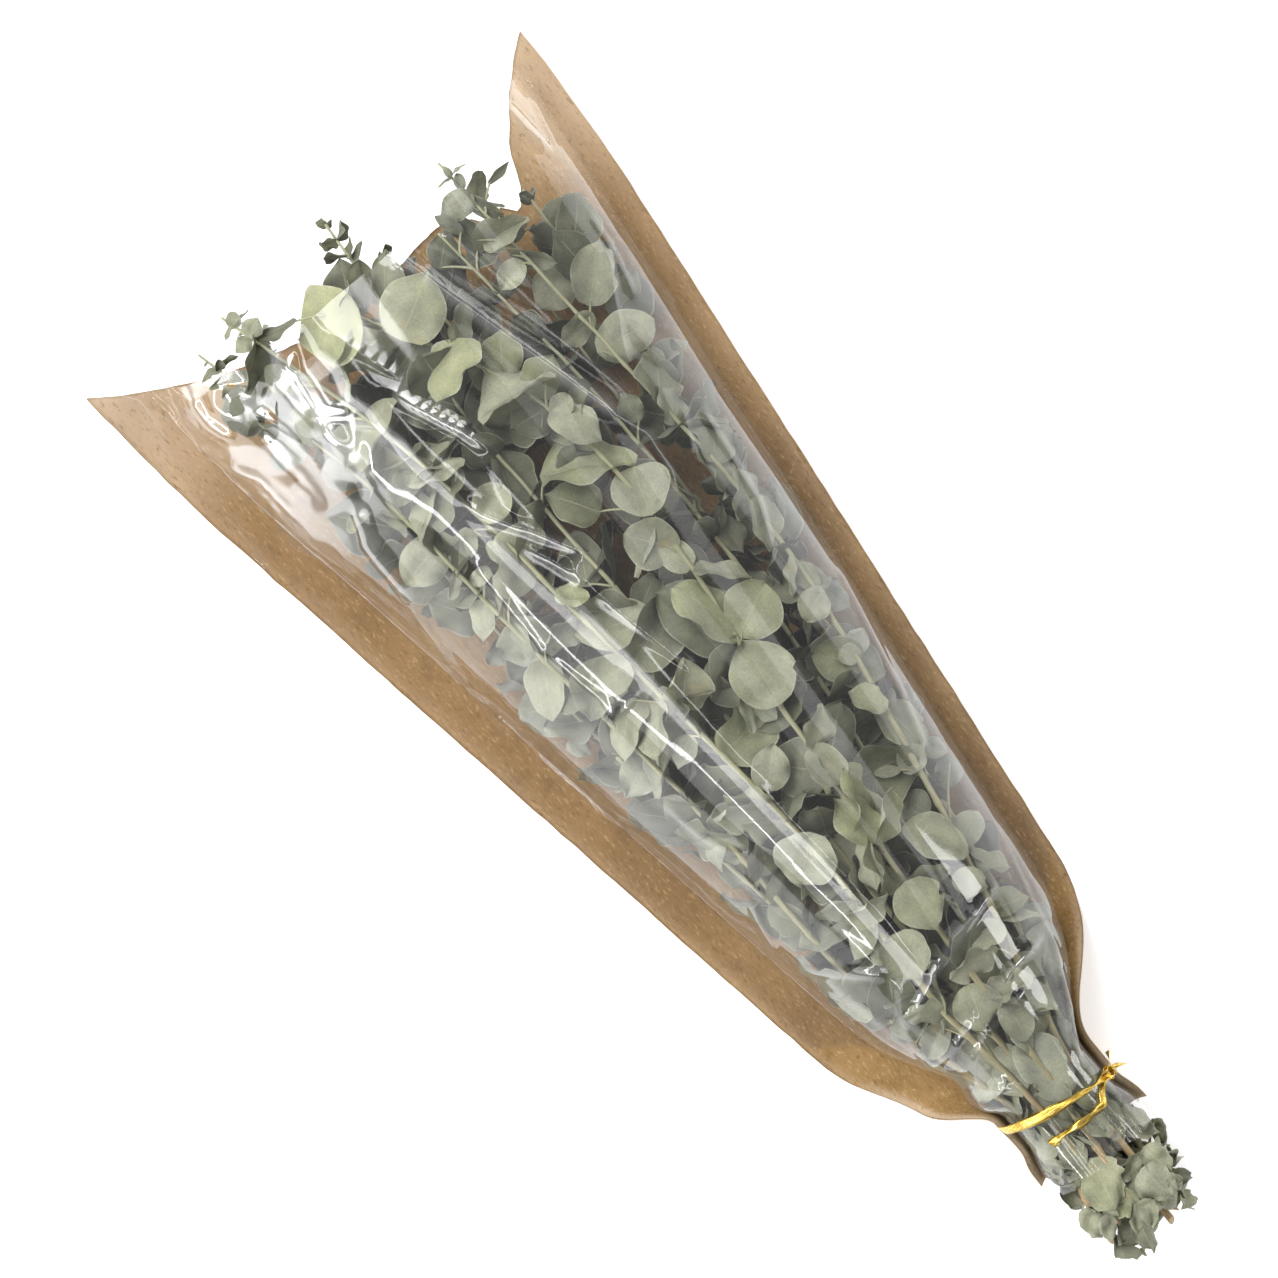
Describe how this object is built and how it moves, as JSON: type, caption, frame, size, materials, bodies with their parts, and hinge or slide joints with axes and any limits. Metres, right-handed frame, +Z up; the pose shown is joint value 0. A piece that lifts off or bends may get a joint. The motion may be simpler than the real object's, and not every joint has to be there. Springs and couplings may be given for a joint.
{
  "type": "bunch of dried eucalyptus",
  "caption": "Dried eucalyptus stems lying in a tapered kraft-paper sleeve with a clear film front, gathered and tied at the neck with a narrow gold ribbon.",
  "frame": {"origin": "centre of the footprint, on the surface that the paper back lies on", "axes": "+X along the stems towards the sleeve's open mouth, +Y across the sleeve, +Z up, away from the paper back"},
  "size_m": [0.6592, 0.2838, 0.0928],
  "materials": {
    "kraft": "matt brown kraft with fine fibres",
    "film": "clear, glossy, creased",
    "gold": "metallic gold curling ribbon",
    "foliage": "dry, matt, grey-green"
  },
  "bodies": {
    "root": {"paper_back": "kraft", "film_front": "film", "ribbon_tie": "gold", "spray_01": "foliage", "spray_02": "foliage", "spray_03": "foliage", "spray_04": "foliage", "spray_05": "foliage", "spray_06": "foliage", "spray_07": "foliage", "spray_08": "foliage", "spray_09": "foliage", "spray_10": "foliage", "spray_11": "foliage"}
  },
  "joints": []
}
